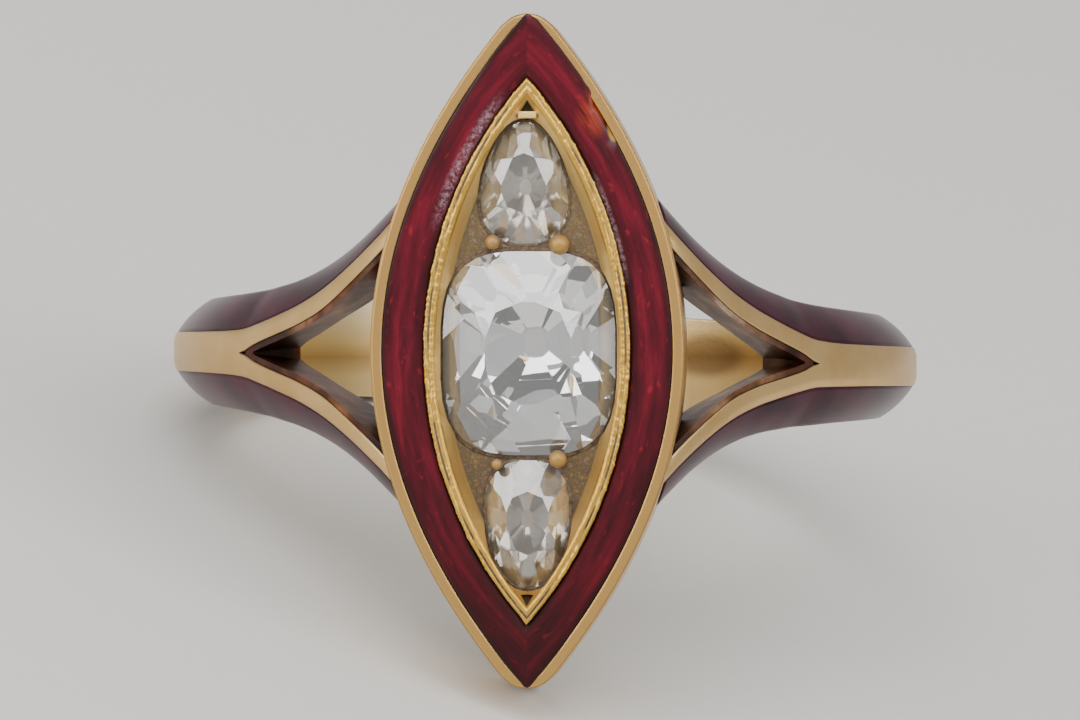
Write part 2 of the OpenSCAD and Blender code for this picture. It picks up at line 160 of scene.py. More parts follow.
def new_mesh(name, points, faces, smooth=True):
    """A mesh from points in the ring's own axes, in mm."""
    mesh = bpy.data.meshes.new(name)
    mesh.from_pydata([ring_axes @ Vector(p) for p in points], [], faces)
    mesh.polygons.foreach_set("use_smooth", [smooth] * len(mesh.polygons))
    made = bpy.data.objects.new(name, mesh)
    bpy.context.scene.collection.objects.link(made)
    print(name, "has", len(mesh.polygons), "faces")
    return made


def joined_rings(rings, corners):
    """Faces between neighbouring rings of corners. The last ring meets the first."""
    return [(i * corners + j, i * corners + (j + 1) % corners,
             (i + 1) % rings * corners + (j + 1) % corners, (i + 1) % rings * corners + j)
            for i in range(rings) for j in range(corners)]


# %% [markdown]
# The inner collar and the well inside it are pointed ovals, where two discs overlap, and each
# side of the head is a parabola. So the distances from one arc and one parabola tell a material
# whether it is on the rim, the band or the collar, or in the well.

# %% Masks that several materials use
COLLAR_R, COLLAR_OFF = 11.0376, 8.2876
HALF_WIDTH, MEET = 4.2, 9.52


def spot(tree, place, centre, size, soft=0.6):
    """A mask that is 1 in an ellipsoid and fades out round it, in the ring's own axes, in mm."""
    from_centre = add(tree, "VectorMath", {"operation": "SUBTRACT", 1: centre}, {0: place})
    shares = add(tree, "VectorMath", {"operation": "DIVIDE", 1: size}, {0: from_centre})
    far = add(tree, "VectorMath", {"operation": "LENGTH"}, {0: shares})
    return add(tree, "MapRange", {
        "interpolation_type": "SMOOTHSTEP", "From Min": 1, "From Max": 1 - soft}, {"Value": far})


def from_collar(tree, axes):
    """How far the shaded point lies outside the collar's arc, in mm."""
    width = add(tree, "Math", {"operation": "ABSOLUTE"}, {0: axes.outputs["X"]})
    shifted = add(tree, "Math", {"operation": "ADD", 1: COLLAR_OFF}, {0: width})
    flat = add(tree, "CombineXYZ", {}, {"X": shifted, "Y": axes.outputs["Y"]})
    radius = add(tree, "VectorMath", {"operation": "LENGTH"}, {0: flat})
    return add(tree, "Math", {"operation": "SUBTRACT", 1: COLLAR_R},
               {0: radius})


def from_rim(tree, axes):
    """How far the shaded point lies inside the head's outline, in mm."""
    bend = HALF_WIDTH / MEET ** 2
    width = add(tree, "Math", {"operation": "ABSOLUTE"}, {0: axes.outputs["X"]})
    square = add(tree, "Math", {"operation": "POWER", 1: 2}, {0: axes.outputs["Y"]})
    drop = add(tree, "Math", {"operation": "MULTIPLY_ADD", 1: bend}, {0: square, 2: width})
    level = add(tree, "Math", {"operation": "SUBTRACT", 0: HALF_WIDTH}, {1: drop})
    slope = add(tree, "Math", {"operation": "MULTIPLY_ADD", 1: 4 * bend ** 2, 2: 1.0}, {0: square})
    steep = add(tree, "Math", {"operation": "SQRT"}, {0: slope})
    return add(tree, "Math", {"operation": "DIVIDE"}, {0: level, 1: steep})


# %% [markdown]
# ## Smooth faces on the solids
#
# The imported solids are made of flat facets. A modifier joins their corners and shades the faces
# as one wherever they meet at less than 25 degrees, so that a curved face looks curved and a real
# edge stays an edge. It moves nothing. The stones go without it.

# %% A modifier for curved faces
REAL_EDGE = math.radians(25)
curved = bpy.data.node_groups.new("curved_faces", "GeometryNodeTree")
curved.interface.new_socket("Geometry", in_out="INPUT", socket_type="NodeSocketGeometry")
curved.interface.new_socket("Geometry", in_out="OUTPUT", socket_type="NodeSocketGeometry")
taken = add(curved, "NodeGroupInput")
bare_mesh = add(curved, "GeometryNodeRemoveAttribute", {"Name": "custom_normal"}, {0: taken})
joined = add(curved, "GeometryNodeMergeByDistance", {"Distance": 0.001 * MM}, {0: bare_mesh})
all_smooth = add(curved, "GeometryNodeSetShadeSmooth", {"domain": "FACE"}, {0: joined})
bend = add(curved, "GeometryNodeInputMeshEdgeAngle")
sharp = add(curved, "FunctionNodeCompare", {"operation": "GREATER_THAN", 1: REAL_EDGE},
            {0: bend.outputs["Unsigned Angle"]})
edges = add(curved, "GeometryNodeSetShadeSmooth", {"domain": "EDGE", "Shade Smooth": False},
            {0: all_smooth, "Selection": sharp})
add(curved, "NodeGroupOutput", {}, {0: edges})
metal_and_enamel = [name for name in solids if not name.endswith("stone")]
for name in metal_and_enamel:
    solids[name].modifiers.new("curved_faces", "NODES").node_group = curved
print(len(metal_and_enamel), "solids are shaded as curved, and the stones keep their flat facets")

# %% [markdown]
# ## Floor and light
#
# A pale, matt floor runs past the view on all sides. The light is that of a small photo tent:
# an even white surround, a large soft light over the camera, and one on each side. They are placed
# as the head sees them, so many degrees across it and so many up towards its upper point.

# %% The floor
reach = 1500
floor = bpy.data.objects.new("floor", bpy.data.meshes.new("floor"))
corners = [(x * reach * MM, y * reach * MM, 0) for x, y in ((-1, -1), (1, -1), (1, 1), (-1, 1))]
floor.data.from_pydata(corners, [], [(0, 1, 2, 3)])
bpy.context.scene.collection.objects.link(floor)
paper, tree, shader, place = new_material("pale_paper")
grain = add(tree, "TexNoise", {"Scale": 2.5, "Detail": 4}, {"Vector": place})
tone = add(tree, "Mix", {"data_type": "RGBA", 6: colour("D9D7D3"), 7: colour("DDDBD7")}, {0: grain})
feed(tree, shader, {"Base Color": tone})
shader.inputs["Roughness"].default_value = 0.8
wear(floor, paper)

# %% [markdown]
# The surround is an even white. Each lamp is a square that faces the middle of the head from
# 0.35 m away, so its reflection on the gold has soft ends.

# %% The light
world = bpy.data.worlds.new("studio")
bpy.context.scene.world = world
world.use_nodes = True
world.node_tree.nodes["Background"].inputs["Color"].default_value = (1, 1, 1, 1)
world.node_tree.nodes["Background"].inputs["Strength"].default_value = 0.6


def softbox(name, across, along, size, watts, distance=0.35):
    """A square area light that shines at the head."""
    a, e = math.radians(across), math.radians(along)
    towards = Vector((math.sin(a) * math.cos(e), math.sin(e), math.cos(a) * math.cos(e)))
    towards = (ring_axes.to_3x3() @ towards).normalized()
    data = bpy.data.lights.new(name, "AREA")
    data.size = size
    data.energy = watts
    lamp = bpy.data.objects.new(name, data)
    bpy.context.scene.collection.objects.link(lamp)
    lamp.location = distance * towards + head_middle
    lamp.rotation_mode = "QUATERNION"
    lamp.rotation_quaternion = towards.to_track_quat("Z", "Y")
    print(name, "hangs", round(lamp.location.z, 2), "m above the floor")


softbox("front_softbox", 0, 41.5, 0.25, 0.85)
softbox("left_softbox", -52, 20, 0.2, 0.6)
softbox("right_softbox", 52, 17, 0.2, 0.5)

# %% [markdown]
# ## Gold
#
# The hoop and head are eighteen carat gold, cast and filed by hand, then polished and worn matt
# again. Gold is a metal, so its colour is that of its reflections. The outer faces are pale and
# softly scratched, and the well round the stones is yellower and less worn, with painted light
# that makes its walls lighter towards the upper point. Old dirt sits on the floor between the
# stones, and dirt with painted shade darkens the corners that the ambient occlusion node finds.
# The inside of the hoop carries painted reflections. A bevel node rounds every edge a little, as
# wear does.

# %% Gold: its colour from place to place
gold, gold_tree, gold_shader, place = new_material("worn_gold")
tree = gold_tree
axes = add(tree, "SeparateXYZ", {}, {"Vector": place})
offset = from_collar(tree, axes)
cloud = add(tree, "TexNoise", {"Scale": 0.7, "Detail": 3}, {"Vector": place})
hoop_gold = add(tree, "ValToRGB", {"stops": [(0.35, "CCA66A"), (0.65, "D8B47C")]}, {"Fac": cloud})
up = add(tree, "MapRange", {"From Min": 10.9, "From Max": 11.7}, {"Value": axes.outputs["Z"]})
head_gold = add(tree, "Mix", {"data_type": "RGBA", 7: colour("D8AA64")}, {0: up, 6: hoop_gold})
# The well lies inside the collar, and its walls reach 1.1 mm in from it. They are painted lighter
# towards the upper point, a painted highlight.
in_well = add(tree, "MapRange", {"From Min": 0.04, "From Max": -0.02}, {"Value": offset})
near_top = add(tree, "MapRange", {"From Min": 10.6, "From Max": 11.2}, {"Value": axes.outputs["Z"]})
well = add(tree, "Math", {"operation": "MULTIPLY"}, {0: in_well, 1: near_top})
near_wall = add(tree, "MapRange", {"From Min": -1.2, "From Max": -1.0}, {"Value": offset})
wall = add(tree, "Math", {"operation": "MULTIPLY"}, {0: near_wall, 1: well})
# Yellower gold on the walls, with painted light that grows towards the upper point
lit_towards_upper_point = add(tree, "MapRange", {"From Min": -5, "From Max": 5}, {"Value": axes.outputs["Y"]})
wall_gold_and_painted_light = add(tree, "Mix", {"data_type": "RGBA", 6: colour("DCB268"), 7: colour("FFDC8E")},
                {0: lit_towards_upper_point})
with_lit_walls = add(tree, "Mix", {"data_type": "RGBA"}, {0: wall, 6: head_gold, 7: wall_gold_and_painted_light})
punched = add(tree, "MapRange", {"From Min": 12.02, "From Max": 12.08},
              {"Value": axes.outputs["Z"]})
outside = add(tree, "Mix", {"data_type": "RGBA", 7: colour("DCAE50")}, {0: punched, 6: with_lit_walls})
print("the gold has", len(tree.nodes), "nodes for its colours so far")

# %% [markdown]
# The inside of the hoop carries painted reflections: a pale colour with soft painted bands along
# it, painted shade over its right side, and a dark painted reflection of the head on the right.

# %% Gold: the inside of the hoop
flat = add(tree, "VectorMath", {"operation": "MULTIPLY", 1: (1, 0, 1)}, {0: place})
radius = add(tree, "VectorMath", {"operation": "LENGTH"}, {0: flat})
inside = add(tree, "MapRange", {"From Min": 8.8, "From Max": 8.7}, {"Value": radius})
height = add(tree, "MapRange", {"From Min": -1.6, "From Max": 1.4}, {"Value": axes.outputs["Y"]})
# Soft bands of painted reflection run along the inside of the hoop
reflection_bands = add(tree, "ValToRGB", {"stops": [
    (0, "E4CC94"), (0.3, "E0C890"), (0.48, "B89860"), (0.62, "DCC080"), (1, "F0E0B8")]},
    {"Fac": height})
# The right side of the inside is darker, a painted shade
right = add(tree, "MapRange", {"From Min": 3.2, "From Max": 3.8}, {"Value": axes.outputs["X"]})
shaded_right_side = add(tree, "Mix", {"data_type": "RGBA", "blend_type": "MULTIPLY", 7: colour("D2C8BC")},
             {0: right, 6: reflection_bands})
# A painted reflection of the head's dark underside, on the right of the bore
dark_reflection = spot(tree, place, (4.3, -0.12, -7.5), (1.45, 0.8, 3), 0.5)
with_dark_reflection = add(tree, "Mix", {"data_type": "RGBA", "blend_type": "MULTIPLY", 7: colour("B4B0B8")},
                {0: dark_reflection, 6: shaded_right_side})
clean = add(tree, "Mix", {"data_type": "RGBA"}, {0: inside, 6: outside, 7: with_dark_reflection})

# %% [markdown]
# Dirt is dull and not a metal, so it lowers the metallic value and raises the roughness. It lies
# all over the floor of the well, and darkens every corner that ambient occlusion finds, as dirt and
# painted shade both. The walls of the well were never polished, so they are rougher than the rest.

# %% Gold: old dirt, and painted shade in the corners
FLOOR_Z = 11.5
# Ambient occlusion darkens the corners: dirt there, and painted shade
corner = add(tree, "AmbientOcclusion", {"samples": 8, "Distance": 0.35 * MM})
corner_dirt_and_shade = add(tree, "MapRange", {"From Min": 0.75, "From Max": 0.2},
                {"Value": corner.outputs["AO"]})
low = add(tree, "MapRange", {"From Min": FLOOR_Z + 0.14, "From Max": FLOOR_Z + 0.02},
          {"Value": axes.outputs["Z"]})
on_floor = add(tree, "Math", {"operation": "MULTIPLY"}, {0: low, 1: well})
# The groove along the punched edge of the collar holds dirt in places
to_groove = add(tree, "Math", {"operation": "ADD", 1: 0.105}, {0: offset})
from_groove = add(tree, "Math", {"operation": "ABSOLUTE"}, {0: to_groove})
groove = add(tree, "MapRange", {"From Min": 0.045, "From Max": 0.02}, {"Value": from_groove})
places = add(tree, "MapRange", {"From Min": 0.46, "From Max": 0.54}, {"Value": cloud})
along_edge = add(tree, "Math", {"operation": "MULTIPLY"}, {0: groove, 1: punched})
in_groove = add(tree, "Math", {"operation": "MULTIPLY"}, {0: along_edge, 1: places})
deep_dirt_and_shade = add(tree, "Math", {"operation": "MAXIMUM"}, {0: corner_dirt_and_shade, 1: in_groove})
# The four grains stand between floor and walls, and a thin film of the same dirt dulls them
off_wall = add(tree, "Math", {"operation": "SUBTRACT", "use_clamp": True}, {0: well, 1: wall})
off_floor = add(tree, "Math", {"operation": "SUBTRACT", "use_clamp": True}, {0: off_wall, 1: low})
film = add(tree, "Math", {"operation": "MULTIPLY", 1: 0.5}, {0: off_floor})
filmed = add(tree, "Math", {"operation": "MAXIMUM"}, {0: film, 1: deep_dirt_and_shade})
most = add(tree, "Math", {"operation": "MAXIMUM"}, {0: filmed, 1: on_floor})
speckle = add(tree, "TexNoise", {"Scale": 7, "Detail": 6, "Roughness": 0.75}, {"Vector": place})
patchy = add(tree, "MapRange", {"From Min": 0.3, "From Max": 0.6, "To Min": 0.65, "To Max": 1.1},
             {"Value": speckle})
dirt_and_shade = add(tree, "Math", {"operation": "MULTIPLY", "use_clamp": True}, {0: most, 1: patchy})
dirt_and_shade_colour = add(tree, "ValToRGB", {"stops": [(0.38, "281C14"), (0.5, "54442F"), (0.64, "8C7A62")]},
            {"Fac": speckle})
below = add(tree, "MapRange", {"From Min": -1, "From Max": -5}, {"Value": axes.outputs["Y"]})
blacker = add(tree, "Mix", {"data_type": "RGBA", "blend_type": "MULTIPLY", 7: colour("B4ACA8")},
              {0: below, 6: dirt_and_shade_colour})
skin = add(tree, "Mix", {"data_type": "RGBA"}, {0: dirt_and_shade, 6: clean, 7: blacker})
metal = add(tree, "MapRange", {"From Max": 0.8, "To Min": 1, "To Max": 0.25}, {"Value": dirt_and_shade})
unpolished = add(tree, "Math", {"operation": "SUBTRACT", "use_clamp": True}, {0: wall, 1: punched})
matt = add(tree, "Math", {"operation": "MULTIPLY", 1: 0.5}, {0: unpolished})
dull = add(tree, "Math", {"operation": "MAXIMUM"}, {0: matt, 1: dirt_and_shade})
rough = add(tree, "MapRange", {"To Min": 0.32, "To Max": 0.7}, {"Value": dull})
print("dirt lies on the well's floor up to", FLOOR_Z + 0.14, "mm")

# %% [markdown]
# Wear has rounded every edge by about 0.08 mm and left fine scratches all over. Both only bend
# the light: the form itself is that of the solid.

# %% Gold: worn edges and fine scratches
edge = add(tree, "Bevel", {"samples": 6, "Radius": 0.08 * MM})
scratches = add(tree, "TexNoise", {"Scale": 6, "Detail": 6, "Roughness": 0.75}, {"Vector": place})
relief = add(tree, "Bump", {"Strength": 0.25, "Distance": 0.02 * MM},
             {"Height": scratches, "Normal": edge})
feed(tree, gold_shader, {
    "Base Color": skin, "Metallic": metal, "Roughness": rough, "Normal": relief})
wear(solids["gold_frame"], gold)
print("the gold has", len(tree.nodes), "nodes in all")

# %% [markdown]
# ## The hammered edge of the collar
#
# The thin edge of the inner collar was pushed towards the stones with a punch. That left two
# uneven ridges with a groove between them, which catch the light as a broken bright line. It is a
# strip swept round the pointed oval. Each offset from the collar's arc meets its mirror image in
# the two points by itself, so the corners are mitred without more work.

# %% The collar's edge
COLLAR_TOP = 12.12
STEPS = 560
# Offset from the outer edge of the collar and height above its top, in mm
EDGE = [(0.015, -0.06), (0.01, 0.01), (-0.03, 0.045), (-0.075, 0.035), (-0.105, 0.0),
        (-0.135, 0.015), (-0.18, 0.04), (-0.225, 0.03), (-0.262, -0.005), (-0.275, -0.07)]


def oval_point(offset, share):
    """A point on the pointed oval that runs at an offset from the collar's outer edge. The share
    runs from -1 at the lower point to 1 at the upper point."""
    r = COLLAR_R + offset
    angle = share * math.acos(COLLAR_OFF / r)
    return r * math.cos(angle) - COLLAR_OFF, r * math.sin(angle)


def edge_ring(share, mirror):
    """One ring of the collar's edge. Its first and last corners stay straight, and the punch has
    dented the rest."""
    ring = []
    for k, (offset, height) in enumerate(EDGE):
        x, y = oval_point(offset, share)
        dent = noise.noise(Vector((3.1 * k, mirror * 7 + x, 3.1 * y)))
        fine = noise.noise(Vector((5.3 * k, mirror * 3, 15 * y)))
        free = 0 if k in (0, len(EDGE) - 1) else 1
        x, y = oval_point(offset + free * (0.025 * dent + 0.018 * fine), share)
        ring.append((mirror * x, y, COLLAR_TOP + height + free * (0.028 * dent + 0.032 * fine)))
    return ring


points = []
for mirror, shares in ((1, range(STEPS)), (-1, range(STEPS, 0, -1))):
    for i in shares:
        points += edge_ring(2 * i / STEPS - 1, mirror)
collar_edge = new_mesh("collar_edge", points, joined_rings(2 * STEPS, len(EDGE)))
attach(collar_edge, "root")
wear(collar_edge, gold)

# %% [markdown]
# ## The red enamel band
#
# Enamel shrinks and slumps as it is fired, so the band's surface is never as flat as the solid's.
# It swells a little in the middle, sinks at both edges and has long low waves. It fills both
# points to a sharp corner, over the rounded ends of its channel. At the upper right it has run
# over the rim, and a chip has gone from its edge just below. A mesh with that surface takes the
# place of the solid. It first needs the outline of the head, evenly spaced from point to point.

# %% The outline of the head
def side_slope(t):
    """How steeply the parabola of the head's side turns in at a height t."""
    return 2 * HALF_WIDTH * t / MEET ** 2


def side_point(t, inset):
    """A point of the head's right side, a parabola, drawn in along its normal."""
    k = math.hypot(1, side_slope(t))
    return HALF_WIDTH * (1 - (t / MEET) ** 2) - inset / k, t - inset * side_slope(t) / k


def side_path(inset, tip_radius, count):
    """Evenly spaced points up the right side of the head, with its two points rounded."""
    meet = MEET
    for _ in range(20):
        narrowed = (inset + tip_radius) / (HALF_WIDTH * math.hypot(1, side_slope(meet)))
        meet = MEET * math.sqrt(1 - narrowed)
    tip = side_point(meet, inset + tip_radius)[1]
    first = math.atan(side_slope(meet))
    arc = [first + (math.pi / 2 - first) * i / 24 for i in range(1, 25)]
    upper = [(tip_radius * math.cos(a), tip + tip_radius * math.sin(a)) for a in arc]
    path = [(x, -y) for x, y in reversed(upper)]
    path += [side_point(meet * i / 200, inset) for i in range(-200, 201)] + upper
    run = [0]
    for a, b in zip(path, path[1:]):
        run.append(run[-1] + math.dist(a, b))
    even, k = [], 0
    for i in range(count + 1):
        goal = run[-1] * i / count
        while k < len(path) - 2 and run[k + 1] < goal:
            k += 1
        s = (goal - run[k]) / (run[k + 1] - run[k])
        even.append(tuple(a + s * (b - a) for a, b in zip(path[k], path[k + 1])))
    return even


outer_path = side_path(0.306, 0.1, 240)
print("the band's outer edge runs from", outer_path[0], "to", outer_path[-1])

# %% [markdown]
# Each ring of the mesh crosses the band from the collar to the rim and closes under it. The rings
# are closest together near both edges, where the surface turns down.

# %% The enamel band
ACROSS = [0, 0.03, 0.08, 0.16, 0.27, 0.4, 0.53, 0.66, 0.78, 0.88, 0.94, 0.975, 1]
ENAMEL_FOOT = 11.53


def blend(value, low, high):
    """0 below low, 1 above high and a smooth step between."""
    s = min(max((value - low) / (high - low), 0), 1)
    return s * s * (3 - 2 * s)


def band_ring(i, mirror):
    """One ring of the band: across its surface from the collar to the rim, and back under it."""
    outer = Vector(outer_path[i])
    inner = Vector(oval_point(0.02, 2 * i / (len(outer_path) - 1) - 1))
    right = blend(mirror * outer.x, 0, 0.3)
    over = right * blend(outer.y, 6.72, 6.86)
    chip = right * blend(outer.y, 5.5, 5.9) * (1 - blend(outer.y, 6.62, 6.7))
    raised = max(over, blend(abs(outer.y), 7.0, 8.1))
    ragged = noise.noise(Vector((mirror * 5, 0, 3.2 * outer.y)))
    longer = (0.13 * over + 0.02 * raised * ragged - 0.008 * abs(ragged)) / (outer - inner).length
    ring = []
    for s in ACROSS:
        point = inner + (s + longer * s ** 5) * (outer - inner)
        swell = 0.05 * (1 - abs(2 * s - 1) ** 4)
        wave = 0.012 * noise.noise(Vector((0.9 * mirror * point.x, 0.55 * point.y, 4)))
        fine = 0.003 * noise.noise(Vector((4 * mirror * point.x, 2.2 * point.y, 1)))
        z = HEAD_TOP - 0.025 + swell + wave + fine + 0.045 * raised * s ** 3 - 0.09 * chip * s ** 4
        ring.append((mirror * point.x, point.y, z))
    feet = [(mirror * p.x, p.y, ENAMEL_FOOT) for p in (outer, inner)]
    return ring + feet


points = []
last = len(outer_path) - 1
for mirror, steps in ((1, range(last)), (-1, range(last, 0, -1))):
    for i in steps:
        points += band_ring(i, mirror)
faces = [face[::-1] for face in joined_rings(2 * last, len(ACROSS) + 2)]
enamel_band = new_mesh("enamel_band", points, faces)
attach(enamel_band, "root")
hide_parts("head_enamel")

# %% [markdown]
# ## Red enamel
#
# The red band is glass fused over gold in several thin layers. It looks deep and wet, a little
# darker towards its edges, with streaks that follow the band where it flowed and was stoned
# flat, and small brighter flecks of unmelted frit. At the chip the thin layers show orange, and
# whitish polishing residue has stayed beside the collar. Two coordinates carry all of this: the
# distance from the collar's arc, which runs across the band, and y, which runs along it.

# %% Red enamel: streaks and frit
red_enamel, tree, shader, place = new_material("red_enamel")
axes = add(tree, "SeparateXYZ", {}, {"Vector": place})
offset = from_collar(tree, axes)
along = add(tree, "CombineXYZ", {}, {"X": offset, "Y": axes.outputs["Y"]})
sides = add(tree, "Math", {"operation": "SIGN"}, {0: axes.outputs["X"]})
# Streaks about 0.3 mm wide and 2 mm long
flow = add(tree, "Mapping", {"Scale": (3.2, 0.45, 1)}, {"Vector": along})
streak = add(tree, "TexNoise", {
    "noise_dimensions": "4D", "Scale": 1.0, "Detail": 5, "Roughness": 0.62},
    {"Vector": flow, "W": sides})
reds = add(tree, "ValToRGB", {"stops": [(0.3, "2E040C"), (0.5, "500818"), (0.72, "761026")]},
           {"Fac": streak})
flecks = add(tree, "Mapping", {"Scale": (4.4, 2.6, 1)}, {"Vector": along})
frit = add(tree, "TexNoise", {"noise_dimensions": "4D", "Scale": 1.0, "Detail": 2},
           {"Vector": flecks, "W": sides})
lit = add(tree, "MapRange", {"From Min": 0.62, "From Max": 0.74}, {"Value": frit})
flecked = add(tree, "Mix", {"data_type": "RGBA", 7: colour("801822")}, {0: lit, 6: reds})

# %% [markdown]
# Both edges are painted darker: the dark joint shows through the thin glass there, and painted
# shade lies along the seam with the gold. The band is also painted darker towards the lower point,
# a painted shade where the light falls off. Where it has run over the rim, its edge lies 0.13 mm
# further out.

# %% Red enamel: dark joints, and painted shade at the edges and the lower point
on_right = add(tree, "Math", {"operation": "GREATER_THAN", 1: 0.0}, {0: axes.outputs["X"]})
run_over = add(tree, "MapRange", {"From Min": 6.7, "From Max": 6.85, "To Max": 0.13},
               {"Value": axes.outputs["Y"]})
shift = add(tree, "Math", {"operation": "MULTIPLY"}, {0: on_right, 1: run_over})
from_edge = add(tree, "Math", {"operation": "ADD"}, {0: shift, 1: from_rim(tree, axes)})
# Both edges are painted darker: the dark joint, and painted shade along the seam with the gold
outer_edge_shade = add(tree, "ValToRGB", {"stops": [
    (0.31, "583830"), (0.36, "B8A0A0"), (0.55, "FFFFFF")]}, {"Fac": from_edge})
inner_edge_shade = add(tree, "ValToRGB", {"stops": [
    (0.03, "603838"), (0.09, "D8CCCC"), (0.3, "FFFFFF")]}, {"Fac": offset})
joints_and_shade = add(tree, "Mix", {"data_type": "RGBA", "blend_type": "MULTIPLY", 0: 1.0},
             {6: inner_edge_shade, 7: outer_edge_shade})
edges_shaded = add(tree, "Mix", {"data_type": "RGBA", "blend_type": "MULTIPLY", 0: 1.0},
            {6: flecked, 7: joints_and_shade})
# Painted shade: the band darkens towards the lower point, where the light falls off
lower = add(tree, "MapRange", {"From Min": -1, "From Max": -7}, {"Value": axes.outputs["Y"]})
shaded_towards_lower_point = add(tree, "Mix", {"data_type": "RGBA", "blend_type": "MULTIPLY", 7: colour("C0A8A8")},
             {0: lower, 6: edges_shaded})

# %% [markdown]
# Just below the run-over the glass is thinnest. It glows orange there, and at the chip beside it
# the gold is bare.

# %% Red enamel: orange at the chip, and bare gold in it
thin = spot(tree, place, (1.8, 6.35, 11.9), (0.6, 0.8, 1.5), 0.9)
ragged = add(tree, "TexNoise", {"Scale": 2.2, "Detail": 4}, {"Vector": flow})
patch = add(tree, "MapRange", {"From Min": 0.35, "From Max": 0.6}, {"Value": ragged})
flame = add(tree, "Math", {"operation": "MULTIPLY"}, {0: thin, 1: patch})
warmed = add(tree, "Mix", {"data_type": "RGBA", 7: colour("9E3A1C")}, {0: flame, 6: shaded_towards_lower_point})
bare = spot(tree, place, (2.32, 6.15, 11.9), (0.22, 0.62, 1.5), 0.3)
chipped = add(tree, "Mix", {"data_type": "RGBA", 7: colour("B88C48")}, {0: bare, 6: warmed})

# %% [markdown]
# The residue is a strip beside the collar on each side, where a noise breaks it into clots.
# For each side: the middle and size of the place, the stops across the band, in mm.

# %% Red enamel: whitish residue
STRIPS = [
    ((-1.6, 5.1, 11.9), (1.6, 2.6, 1.5),
     [(0.05, "000000"), (0.16, "FFFFFF"), (0.24, "FFFFFF"), (0.42, "000000")]),
    ((2.3, 3.4, 11.9), (0.9, 2.1, 1.5), [(0.1, "FFFFFF"), (0.18, "000000")])]
dusty = []
for centre, size, stops in STRIPS:
    across = add(tree, "ValToRGB", {"stops": stops}, {"Fac": offset})
    here = spot(tree, place, centre, size, 0.5)
    dusty.append(add(tree, "Math", {"operation": "MULTIPLY"}, {0: here, 1: across}))
dust = add(tree, "Math", {"operation": "ADD"}, dict(enumerate(dusty)))
powder = add(tree, "TexNoise", {"Scale": 9, "Detail": 6, "Roughness": 0.75}, {"Vector": place})
clots = add(tree, "MapRange", {"From Min": 0.42, "From Max": 0.62, "To Max": 0.62},
            {"Value": powder})
residue = add(tree, "Math", {"operation": "MULTIPLY", "use_clamp": True}, {0: dust, 1: clots})
dusted = add(tree, "Mix", {"data_type": "RGBA", 7: colour("A8909A")}, {0: residue, 6: chipped})
gloss = add(tree, "MapRange", {"To Min": 0.28, "To Max": 0.6}, {"Value": residue})
uneven = add(tree, "Bump", {"Strength": 0.2, "Distance": 0.02 * MM}, {"Height": streak})
feed(tree, shader, {"Base Color": dusted, "Roughness": gloss, "Normal": uneven})
shader.inputs["IOR"].default_value = 1.5
shader.inputs["Specular IOR Level"].default_value = 0.3
wear(enamel_band, red_enamel)
wear(solids["head_enamel"], red_enamel)
print("the red enamel has", len(tree.nodes), "nodes")

# %% [markdown]
# ## The shoulders' enamel
#
# Each flank of the hoop carries a panel of enamel that starts against the head, swells between
# its two gold edges, rolls over the foot of the flank and narrows to a rounded end on the side
# of the hoop. The solids show its flat facets, so a finer strip takes their place. It is swept
# through the same sections as the hoop: ridge, foot and the radius of each, at angles that are
# measured from the middle of the head. A smooth curve runs through each column of the table.

# %% The hoop's sections
# Angle, radius and outer edge of the ridge, edge and radius of the foot
SECTIONS = [
    (17, 11.75, 3.76, 4.48, 10.80), (20, 11.60, 3.13, 3.90, 10.62), (25, 11.25, 2.33, 3.15, 10.30),
    (30, 10.92, 1.72, 2.60, 10.02), (35, 10.66, 1.30, 2.22, 9.80), (40, 10.50, 1.00, 1.97, 9.63),
    (45, 10.40, 0.75, 1.81, 9.50), (49, 10.36, 0.60, 1.71, 9.42), (60, 10.33, 0.53, 1.57, 9.35),
    (75, 10.32, 0.51, 1.47, 9.30), (90, 10.31, 0.50, 1.42, 9.28), (120, 10.16, 0.49, 1.38, 9.20),
    (180, 9.96, 0.48, 1.33, 9.10)]
FORK, FORKS = 49, {-1: 51.5, 1: 48.5}
SAG, TWIST = 0.21, 0.17


def section_at(angle):
    """Ridge radius, ridge edge, foot edge and foot radius at an angle."""
    i = max(k for k in range(len(SECTIONS) - 1) if k == 0 or SECTIONS[k][0] <= angle)
    step = SECTIONS[i + 1][0] - SECTIONS[i][0]
    s = (angle - SECTIONS[i][0]) / step
    found = []
    for col in range(1, 5):
        rises = []
        for k in (i, i + 1):
            a, b = SECTIONS[max(k - 1, 0)], SECTIONS[min(k + 1, len(SECTIONS) - 1)]
            rises.append(0 if k == len(SECTIONS) - 1 else (b[col] - a[col]) / (b[0] - a[0]))
        p, q = SECTIONS[i][col], SECTIONS[i + 1][col]
        found.append(p * (1 + 2 * s) * (1 - s) ** 2 + q * s * s * (3 - 2 * s)
                     + step * s * (1 - s) * (rises[0] * (1 - s) - rises[1] * s))
    return found


def hoop_point(mirror, half, angle, y, r):
    """A point of the hoop: its own fork angle, sag and twist are added to the section."""
    fork, first = FORKS[mirror], SECTIONS[0][0]
    if angle < FORK:
        turn = first + (angle - first) * (fork - first) / (FORK - first)
    else:
        turn = fork + (angle - FORK) * (180 - fork) / (180 - FORK)
    a = math.radians(turn)
    sag = SAG * (1 + mirror * math.sin(a)) * blend(turn, 12, 55)
    twist = mirror * TWIST * math.sin(2 * a) ** 2 if turn > 90 else 0
    return Vector((mirror * r * math.sin(a), half * y - sag - twist, r * math.cos(a)))


# %% [markdown]
# The panel lies in its groove a hair's breadth off the gold. Its face swells between a narrow lip
# beside the ridge and one beside the foot, and towards its far end the whole section shrinks to a
# rounded tip.

# %% One panel's section
GAP, PANEL_END, GROOVE_DEPTH = 0.03, 112, 0.24
LIP_TOP, LIP_FOOT, DRAFT = 0.05, 0.07, 0.03
CROWN_DROP, FOOT_BACK, SWELL = 0.06, 0.06, 0.08
FACE_STEPS = 14


